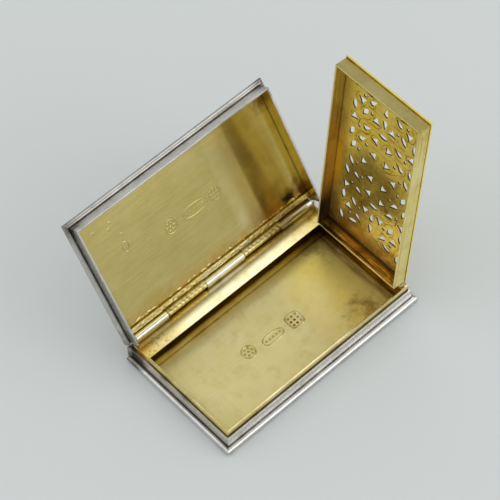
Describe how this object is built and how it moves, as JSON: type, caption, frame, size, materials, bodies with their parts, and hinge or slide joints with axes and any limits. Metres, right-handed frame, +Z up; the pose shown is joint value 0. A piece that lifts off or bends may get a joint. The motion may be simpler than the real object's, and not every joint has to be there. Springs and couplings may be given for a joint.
{
  "type": "silver vinaigrette",
  "caption": "Small rectangular silver-gilt scent box with moulded edges, a lid hinged at the back and a pierced foliate inner grille hinged at one end.",
  "frame": {"origin": "middle of the underside of the base, which stands on the surface", "axes": "+X along the length towards the end where the grille is hinged, +Y towards the lid's hinge, +Z up"},
  "size_m": [0.0437, 0.0352, 0.0413],
  "materials": {
    "silver": "worn polished silver",
    "gilt": "soft worn gilding on silver"
  },
  "bodies": {
    "base": {"base_plate": "gilt", "base_front_moulding": "silver", "base_back_moulding": "silver", "base_left_moulding": "silver", "base_right_moulding": "silver", "bezel_front": "gilt", "bezel_left": "gilt", "grille_hinge_rail": "gilt", "hinge_ledge": "gilt", "lid_hinge_base_knuckle_left": "silver", "lid_hinge_base_knuckle_middle": "silver", "lid_hinge_base_knuckle_right": "silver", "lid_hinge_pin": "silver", "grille_hinge_base_knuckle_front": "gilt", "grille_hinge_base_knuckle_rear": "gilt", "grille_hinge_pin": "gilt"},
    "lid": {"lid_plate": "silver", "lid_front_moulding": "silver", "lid_left_moulding": "silver", "lid_right_moulding": "silver", "lid_back_edge": "silver", "lid_hinge_strip": "gilt", "lid_hinge_lid_knuckle_left": "gilt", "lid_hinge_lid_knuckle_right": "gilt"},
    "grille": {"grille_plate": "gilt", "grille_front_flange": "gilt", "grille_rear_flange": "gilt", "grille_free_end_flange": "gilt", "grille_hinge_end_flange": "gilt", "grille_hinge_grille_knuckle": "gilt"}
  },
  "joints": [
    {"name": "lid_hinge", "type": "hinge", "parent": "base", "child": "lid", "pos_m": [0, 0.011, 0.0054], "axis": [1, 0, 0], "range_deg": [0, 33]},
    {"name": "grille_hinge", "type": "hinge", "parent": "base", "child": "grille", "pos_m": [0.01804, 0, 0.00491], "axis": [0, 1, 0], "range_deg": [-98, 0]}
  ]
}
